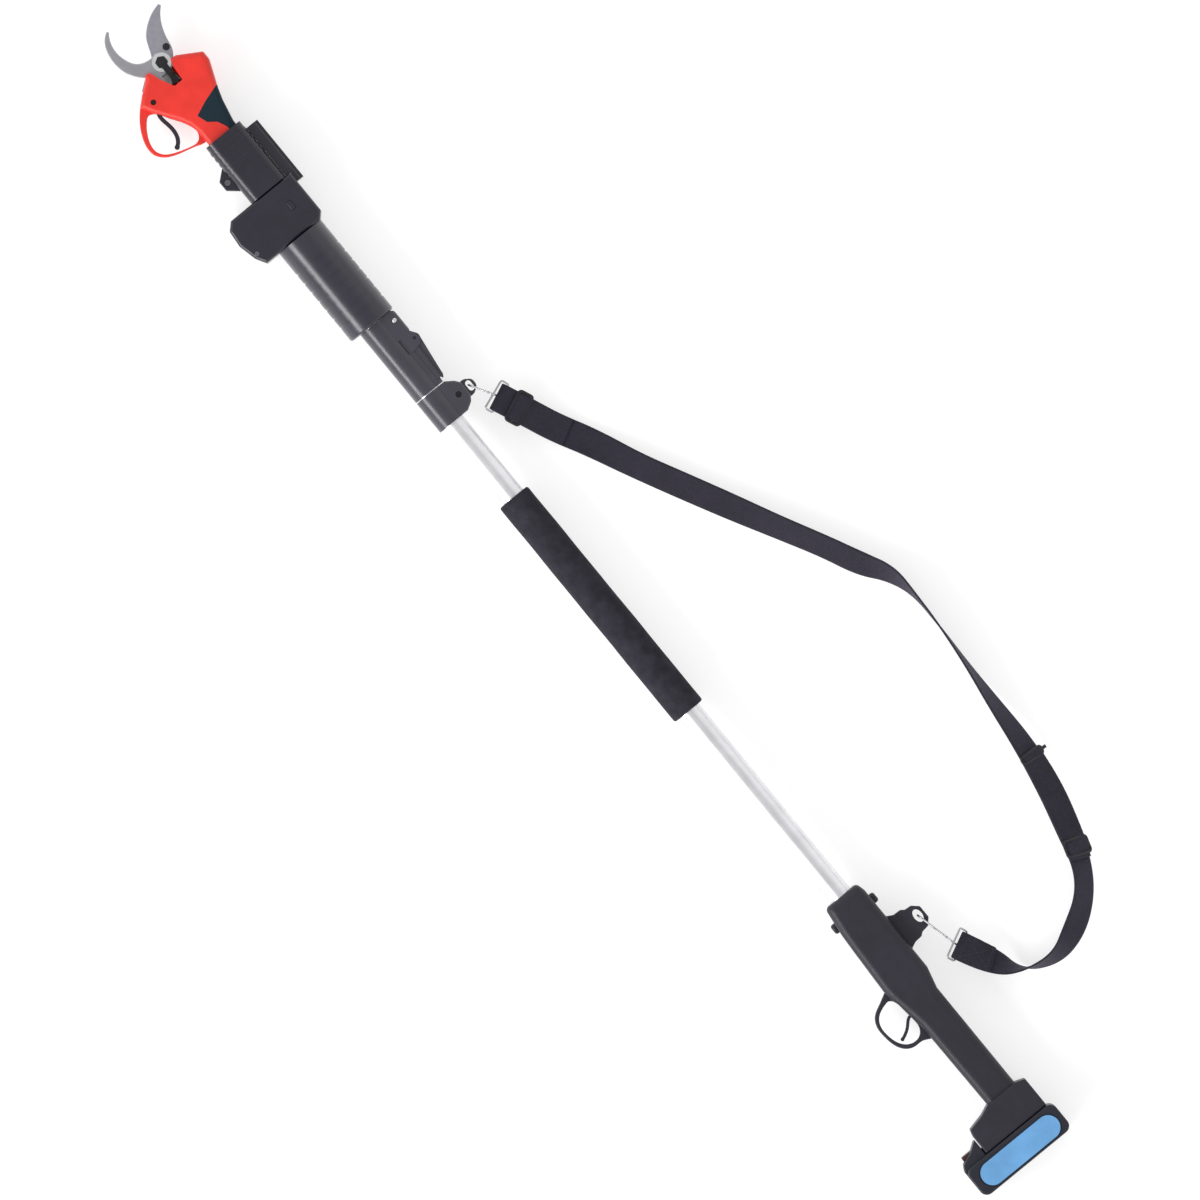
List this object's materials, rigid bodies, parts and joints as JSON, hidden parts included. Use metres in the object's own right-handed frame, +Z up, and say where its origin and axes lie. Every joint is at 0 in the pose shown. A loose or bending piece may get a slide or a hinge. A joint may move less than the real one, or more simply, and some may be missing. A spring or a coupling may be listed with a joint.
{
  "type": "telescoping pole pruner",
  "caption": "Cordless bypass pruner clamped on a telescoping pole with a remote trigger handle, slide-on battery, foam grip and shoulder strap.",
  "frame": {"origin": "on the floor plane, under the middle of the collapsed tool's box measured without its strap; the tool lies on its side", "axes": "+X along the pole towards the blades, +Y the side both trigger guards are on, +Z up off the floor"},
  "size_m": [1.6016, 0.3635, 0.06],
  "materials": {
    "housing_orange": "satin moulded orange-red",
    "inlay_rubber": "matte dark teal-black rubber",
    "cutter_black": "fine-grained black nylon",
    "barrel_black": "satin black nylon",
    "lock_black": "satin black nylon",
    "handle_black": "fine-grained black nylon",
    "battery_black": "fine-grained black plastic",
    "latch_brown": "fine-grained dark red-brown plastic",
    "panel_blue": "satin sky-blue plastic",
    "hook_steel": "ground steel",
    "blade_steel": "ground steel",
    "washer_steel": "bright plated",
    "black_steel": "black oxide",
    "screw_steel": "dull zinc plated",
    "wire_steel": "bright plated wire",
    "gear_steel": "machined",
    "motor_steel": "zinc plated can",
    "board_green": "solder mask",
    "switch_black": "moulded",
    "outer_aluminium": "satin anodised",
    "inner_aluminium": "bright satin anodised",
    "foam": "closed-cell foam",
    "lead_rubber": "smooth cable jacket",
    "webbing": "woven polypropylene webbing",
    "adjuster_black": "moulded acetal",
    "cell_foil": "foil pouch"
  },
  "bodies": {
    "pole": {"outer_tube": "outer_aluminium", "foam_grip": "foam", "curly_lead": "lead_rubber", "tube_lock_body": "lock_black", "flip_lever_pin": "black_steel", "tube_lock_bolt": "washer_steel", "strap_collar_upper": "lock_black", "strap_collar_lower": "lock_black", "housing_screws": "black_steel", "handle_shell_upper": "handle_black", "handle_shell_lower": "handle_black", "handle_cross_bolt": "black_steel", "remote_trigger_pin": "screw_steel", "remote_trigger_spring": "gear_steel", "remote_switch": "switch_black", "terminal_block": "handle_black", "shoulder_strap": "webbing", "strap_adjusters": "adjuster_black", "strap_end_loops": "wire_steel", "snap_hooks": "wire_steel"},
    "cutter": {"head_shell_upper": "housing_orange", "head_shell_lower": "housing_orange", "grip_inlay": "inlay_rubber", "hook_blade": "hook_steel", "pivot_bolt": "black_steel", "pivot_nut": "black_steel", "pivot_washer": "washer_steel", "lock_plate": "black_steel", "head_screws": "black_steel", "gearbox": "gear_steel", "drive_motor": "motor_steel", "control_board": "board_green", "head_switch": "switch_black", "head_trigger_pin": "screw_steel", "head_trigger_spring": "gear_steel", "cradle_shell_upper": "cutter_black", "cradle_shell_lower": "cutter_black", "plug_block_upper": "cutter_black", "plug_block_lower": "cutter_black", "barrel_shell_upper": "barrel_black", "barrel_shell_lower": "barrel_black", "clamp_plate": "cutter_black", "adapter_screws": "screw_steel", "inner_tube": "inner_aluminium", "tube_end_bush": "lock_black"},
    "blade": {"cutting_blade": "blade_steel", "blade_screw": "black_steel", "sector_gear": "gear_steel"},
    "pinion": {"drive_pinion": "gear_steel"},
    "cutter_trigger": {"head_trigger": "cutter_black"},
    "cutter_release": {"release_button": "cutter_black"},
    "lock_lever": {"flip_lever": "lock_black"},
    "handle_trigger": {"remote_trigger": "handle_black"},
    "battery": {"battery_case_upper": "battery_black", "battery_case_lower": "battery_black", "battery_side_panels": "panel_blue", "battery_cells": "cell_foil"},
    "battery_latch": {"battery_release_button": "latch_brown"},
    "upper_gate": {"upper_hook_gate": "wire_steel"},
    "lower_gate": {"lower_hook_gate": "wire_steel"}
  },
  "joints": [
    {"name": "telescope_slide", "type": "slide", "parent": "pole", "child": "cutter", "axis": [1, 0, 0], "range_m": [0, 0.55]},
    {"name": "flip_lever_hinge", "type": "hinge", "parent": "pole", "child": "lock_lever", "pos_m": [0.325, -0.0398, 0.03], "axis": [0, 0, 1], "range_deg": [0, 120]},
    {"name": "blade_hinge", "type": "hinge", "parent": "cutter", "child": "blade", "pos_m": [0.7352, -0.017, 0.03], "axis": [0, 0, 1], "range_deg": [0, 64]},
    {"name": "pinion_spin", "type": "hinge", "parent": "cutter", "child": "pinion", "pos_m": [0.7082, -0.017, 0.03], "axis": [1, 0, 0], "range_deg": [-256, 0]},
    {"name": "cutter_trigger_hinge", "type": "hinge", "parent": "cutter", "child": "cutter_trigger", "pos_m": [0.6968, 0.02, 0.03], "axis": [0, 0, 1], "range_deg": [0, 10], "stiffness_Nm_per_rad": 0.12, "springref_deg": -8.59},
    {"name": "cutter_release_slide", "type": "slide", "parent": "cutter", "child": "cutter_release", "axis": [0, 0, -1], "range_m": [0, 0.0025], "stiffness_N_per_m": 500, "springref_m": -0.003},
    {"name": "handle_trigger_hinge", "type": "hinge", "parent": "pole", "child": "handle_trigger", "pos_m": [-0.6, 0.0045, 0.03], "axis": [0, 0, 1], "range_deg": [0, 9], "stiffness_Nm_per_rad": 0.12, "springref_deg": -8.59},
    {"name": "battery_slide", "type": "slide", "parent": "pole", "child": "battery", "axis": [0, 1, 0], "range_m": [0, 0.09]},
    {"name": "battery_latch_slide", "type": "slide", "parent": "battery", "child": "battery_latch", "axis": [-1, 0, 0], "range_m": [0, 0.003], "stiffness_N_per_m": 500, "springref_m": -0.003},
    {"name": "upper_gate_hinge", "type": "hinge", "parent": "pole", "child": "upper_gate", "pos_m": [0.22747, -0.06472, 0.03715], "axis": [-0.5032, 0.8642, 0], "range_deg": [0, 25], "stiffness_Nm_per_rad": 0.002, "springref_deg": -5.73},
    {"name": "lower_gate_hinge", "type": "hinge", "parent": "pole", "child": "lower_gate", "pos_m": [-0.55397, -0.07459, 0.03715], "axis": [-0.236, 0.9718, 0], "range_deg": [0, 25], "stiffness_Nm_per_rad": 0.002, "springref_deg": -5.73}
  ],
  "couplings": [
    {"joint": "pinion_spin", "follows": "blade_hinge", "ratio": -4}
  ]
}
